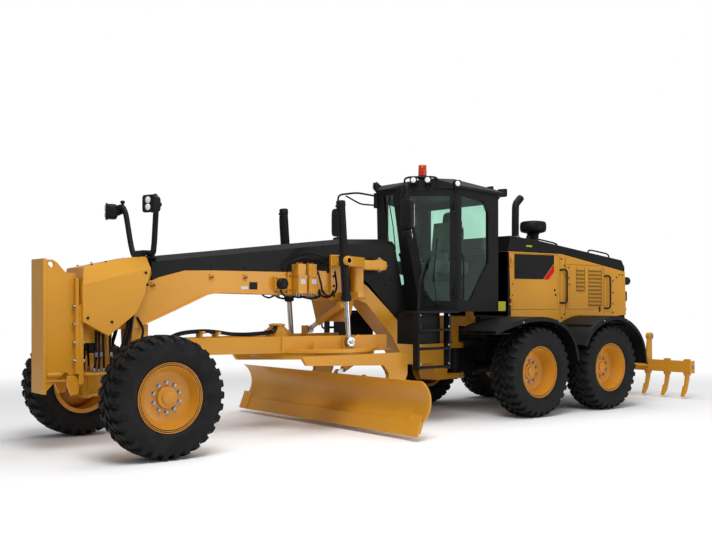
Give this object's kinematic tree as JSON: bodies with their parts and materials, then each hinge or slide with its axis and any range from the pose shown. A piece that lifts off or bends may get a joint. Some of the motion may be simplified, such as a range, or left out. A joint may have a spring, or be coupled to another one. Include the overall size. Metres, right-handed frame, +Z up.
{
  "type": "motor grader",
  "caption": "Motor grader with articulated frame, wedge-shaped cab, leaning and steering front wheels, drawbar with turning circle and tipping blade, tandem drive and rear ripper.",
  "frame": {"origin": "on the ground on the centreline, under the middle of the machine's length", "axes": "+X forward, +Y to the machine's left, +Z up"},
  "size_m": [10.03, 3.66, 3.47],
  "materials": {
    "yellow_paint": "gloss",
    "black_paint": "satin",
    "rim_paint": "gloss",
    "tyre_rubber": "matt",
    "cab_glass": "clear",
    "rod_chrome": "polished",
    "wear_steel": "worn",
    "interior_trim": "matt",
    "engine_iron": "matt"
  },
  "bodies": {
    "front_frame": {"front_frame": "yellow_paint", "beam_shroud": "black_paint", "nose_cover": "yellow_paint", "push_block": "yellow_paint", "cab_shell": "black_paint", "cab_windows": "cab_glass", "cab_interior": "interior_trim", "access_steps": "black_paint", "lift_saddle": "yellow_paint", "valve_banks": "yellow_paint", "lamps": "black_paint", "mirrors": "black_paint", "front_axle": "yellow_paint"},
    "lean_left": {"lean_frame_left": "yellow_paint"},
    "lean_right": {"lean_frame_right": "yellow_paint"},
    "lean_bar": {"lean_bar": "yellow_paint"},
    "knuckle_left": {"knuckle_left": "yellow_paint"},
    "knuckle_right": {"knuckle_right": "yellow_paint"},
    "tie_rod_end": {"tie_rod_end": "yellow_paint"},
    "tie_rod": {"tie_rod": "yellow_paint"},
    "drawbar": {"drawbar": "yellow_paint"},
    "circle": {"circle": "yellow_paint"},
    "pinion": {"pinion": "wear_steel"},
    "blade_bracket": {"blade_bracket": "yellow_paint"},
    "moldboard": {"moldboard": "yellow_paint", "cutting_edge": "wear_steel"},
    "lift_barrels": {"lift_barrels": "black_paint"},
    "lift_rods": {"lift_rods": "rod_chrome"},
    "shift_barrel": {"shift_barrel": "yellow_paint"},
    "shift_rod": {"shift_rod": "rod_chrome"},
    "tip_barrel": {"tip_barrel": "yellow_paint"},
    "tip_rod": {"tip_rod": "rod_chrome"},
    "rear_frame": {"rear_frame": "black_paint", "engine": "engine_iron", "hood": "yellow_paint", "hood_cap": "black_paint", "fenders": "black_paint", "tandems": "black_paint", "stacks": "black_paint"},
    "ripper": {"ripper": "yellow_paint"},
    "front_wheel_left": {"front_tyre_left": "tyre_rubber", "front_rim_left": "rim_paint"},
    "mid_wheel_left": {"mid_tyre_left": "tyre_rubber", "mid_rim_left": "rim_paint"},
    "rear_wheel_left": {"rear_tyre_left": "tyre_rubber", "rear_rim_left": "rim_paint"},
    "cab_door_left": {"cab_door_left": "black_paint", "cab_door_glass_left": "cab_glass"},
    "hood_door_left": {"hood_door_left": "yellow_paint"},
    "grille_door_left": {"grille_door_left": "yellow_paint"},
    "front_wheel_right": {"front_tyre_right": "tyre_rubber", "front_rim_right": "rim_paint"},
    "mid_wheel_right": {"mid_tyre_right": "tyre_rubber", "mid_rim_right": "rim_paint"},
    "rear_wheel_right": {"rear_tyre_right": "tyre_rubber", "rear_rim_right": "rim_paint"},
    "cab_door_right": {"cab_door_right": "black_paint", "cab_door_glass_right": "cab_glass"},
    "hood_door_right": {"hood_door_right": "yellow_paint"},
    "grille_door_right": {"grille_door_right": "yellow_paint"}
  },
  "joints": [
    {"name": "articulation", "type": "hinge", "parent": "front_frame", "child": "rear_frame", "pos_m": [-0.835, 0, 0.7], "axis": [0, 0, 1], "range_deg": [-20, 20]},
    {"name": "wheel_lean", "type": "hinge", "parent": "front_frame", "child": "lean_left", "pos_m": [4.165, 0.7, 0.6], "axis": [1, 0, 0], "range_deg": [-18, 18]},
    {"name": "wheel_lean_right", "type": "hinge", "parent": "front_frame", "child": "lean_right", "pos_m": [4.165, -0.7, 0.6], "axis": [1, 0, 0], "range_deg": [-18.5, 18.5]},
    {"name": "lean_bar_pivot", "type": "hinge", "parent": "lean_left", "child": "lean_bar", "pos_m": [4.165, 0.7, 0.905], "axis": [1, 0, 0], "range_deg": [-18.5, 18.5]},
    {"name": "steering", "type": "hinge", "parent": "lean_left", "child": "knuckle_left", "pos_m": [4.165, 0.822, 0.6], "axis": [0, 0, 1], "range_deg": [-47.5, 47.5]},
    {"name": "steering_right", "type": "hinge", "parent": "lean_right", "child": "knuckle_right", "pos_m": [4.165, -0.822, 0.6], "axis": [0, 0, 1], "range_deg": [-48.5, 48.5]},
    {"name": "tie_rod_swivel", "type": "hinge", "parent": "knuckle_left", "child": "tie_rod_end", "pos_m": [3.93, 0.822, 0.39], "axis": [0, 0, 1], "range_deg": [-48.5, 48.5]},
    {"name": "tie_rod_pivot", "type": "hinge", "parent": "tie_rod_end", "child": "tie_rod", "pos_m": [3.93, 0.822, 0.39], "axis": [1, 0, 0], "range_deg": [-18, 18]},
    {"name": "front_wheel_left_roll", "type": "hinge", "parent": "knuckle_left", "child": "front_wheel_left", "pos_m": [4.165, 1.07, 0.6], "axis": [0, 1, 0], "continuous": true},
    {"name": "front_wheel_right_roll", "type": "hinge", "parent": "knuckle_right", "child": "front_wheel_right", "pos_m": [4.165, -1.07, 0.6], "axis": [0, 1, 0], "continuous": true},
    {"name": "mid_wheel_left_roll", "type": "hinge", "parent": "rear_frame", "child": "mid_wheel_left", "pos_m": [-1.1955, 1.07, 0.6], "axis": [0, 1, 0], "continuous": true},
    {"name": "mid_wheel_right_roll", "type": "hinge", "parent": "rear_frame", "child": "mid_wheel_right", "pos_m": [-1.1955, -1.07, 0.6], "axis": [0, 1, 0], "continuous": true},
    {"name": "rear_wheel_left_roll", "type": "hinge", "parent": "rear_frame", "child": "rear_wheel_left", "pos_m": [-2.7205, 1.07, 0.6], "axis": [0, 1, 0], "continuous": true},
    {"name": "rear_wheel_right_roll", "type": "hinge", "parent": "rear_frame", "child": "rear_wheel_right", "pos_m": [-2.7205, -1.07, 0.6], "axis": [0, 1, 0], "continuous": true},
    {"name": "blade_lift", "type": "hinge", "parent": "front_frame", "child": "drawbar", "pos_m": [3.915, 0, 1], "axis": [0, 1, 0], "range_deg": [-15.8, 9]},
    {"name": "lift_barrel_swing", "type": "hinge", "parent": "front_frame", "child": "lift_barrels", "pos_m": [1.577, 0, 2.01], "axis": [0, 1, 0], "range_deg": [-3.84, 2.24]},
    {"name": "lift_rod_slide", "type": "slide", "parent": "lift_barrels", "child": "lift_rods", "axis": [-0.0748, 0, -0.9972], "range_m": [-0.3957, 0.679]},
    {"name": "shift_barrel_swing", "type": "hinge", "parent": "front_frame", "child": "shift_barrel", "pos_m": [1.385, 0.28, 1.48], "axis": [1, 0, 0], "range_deg": [-23.7, 40.66]},
    {"name": "shift_rod_slide", "type": "slide", "parent": "shift_barrel", "child": "shift_rod", "axis": [0, -0.9092, -0.4164], "range_m": [-0.1658, 0.2845]},
    {"name": "circle_turn", "type": "hinge", "parent": "drawbar", "child": "circle", "pos_m": [1.615, 0, 0.9], "axis": [0, 0, 1], "continuous": true},
    {"name": "pinion_drive", "type": "hinge", "parent": "drawbar", "child": "pinion", "pos_m": [2.131, 0, 0.9], "axis": [0, 0, 1], "continuous": true},
    {"name": "blade_tip", "type": "hinge", "parent": "circle", "child": "blade_bracket", "pos_m": [1.065, 0, 0.32], "axis": [0, 1, 0], "range_deg": [-5, 40]},
    {"name": "tip_barrel_swing", "type": "hinge", "parent": "circle", "child": "tip_barrel", "pos_m": [0.815, 0, 0.83], "axis": [0, 1, 0], "range_deg": [-0.79, 5.42]},
    {"name": "tip_rod_slide", "type": "slide", "parent": "tip_barrel", "child": "tip_rod", "axis": [0.8967, 0, -0.4425], "range_m": [-0.0345, 0.2384]},
    {"name": "blade_sideshift", "type": "slide", "parent": "blade_bracket", "child": "moldboard", "axis": [0, -1, 0], "range_m": [-0.51, 0.66]},
    {"name": "cab_door_left_hinge", "type": "hinge", "parent": "front_frame", "child": "cab_door_left", "pos_m": [-0.12632, 0.73267, 2.2], "axis": [0, 0, 1], "range_deg": [0, 75]},
    {"name": "cab_door_right_hinge", "type": "hinge", "parent": "front_frame", "child": "cab_door_right", "pos_m": [-0.12632, -0.73267, 2.2], "axis": [0, 0, 1], "range_deg": [-75, 0]},
    {"name": "hood_door_left_hinge", "type": "hinge", "parent": "rear_frame", "child": "hood_door_left", "pos_m": [-1.325, 0.634, 1.8], "axis": [0, 0, 1], "range_deg": [-75, 0]},
    {"name": "hood_door_right_hinge", "type": "hinge", "parent": "rear_frame", "child": "hood_door_right", "pos_m": [-1.325, -0.634, 1.8], "axis": [0, 0, 1], "range_deg": [0, 75]},
    {"name": "grille_door_left_hinge", "type": "hinge", "parent": "rear_frame", "child": "grille_door_left", "pos_m": [-2.535, 0.634, 1.8], "axis": [0, 0, 1], "range_deg": [-75, 0]},
    {"name": "grille_door_right_hinge", "type": "hinge", "parent": "rear_frame", "child": "grille_door_right", "pos_m": [-2.535, -0.634, 1.8], "axis": [0, 0, 1], "range_deg": [0, 75]},
    {"name": "ripper_lift", "type": "hinge", "parent": "rear_frame", "child": "ripper", "pos_m": [-4.065, 0, 0.64], "axis": [0, 1, 0], "range_deg": [-25, 25]}
  ],
  "couplings": [
    {"joint": "wheel_lean_right", "follows": "wheel_lean", "ratio": 1},
    {"joint": "lean_bar_pivot", "follows": "wheel_lean", "ratio": -1},
    {"joint": "steering_right", "follows": "steering", "ratio": 1},
    {"joint": "tie_rod_swivel", "follows": "steering", "ratio": -1},
    {"joint": "tie_rod_pivot", "follows": "wheel_lean", "ratio": -0.85158},
    {"joint": "lift_barrel_swing", "follows": "blade_lift", "ratio": 0.23555},
    {"joint": "lift_rod_slide", "follows": "blade_lift", "m_per_rad": -2.387},
    {"joint": "shift_barrel_swing", "follows": "blade_lift", "ratio": -2.4949},
    {"joint": "shift_rod_slide", "follows": "blade_lift", "m_per_rad": -1},
    {"joint": "pinion_drive", "follows": "circle_turn", "ratio": 5},
    {"joint": "tip_barrel_swing", "follows": "blade_tip", "ratio": 0.13244},
    {"joint": "tip_rod_slide", "follows": "blade_tip", "m_per_rad": 0.33383}
  ]
}
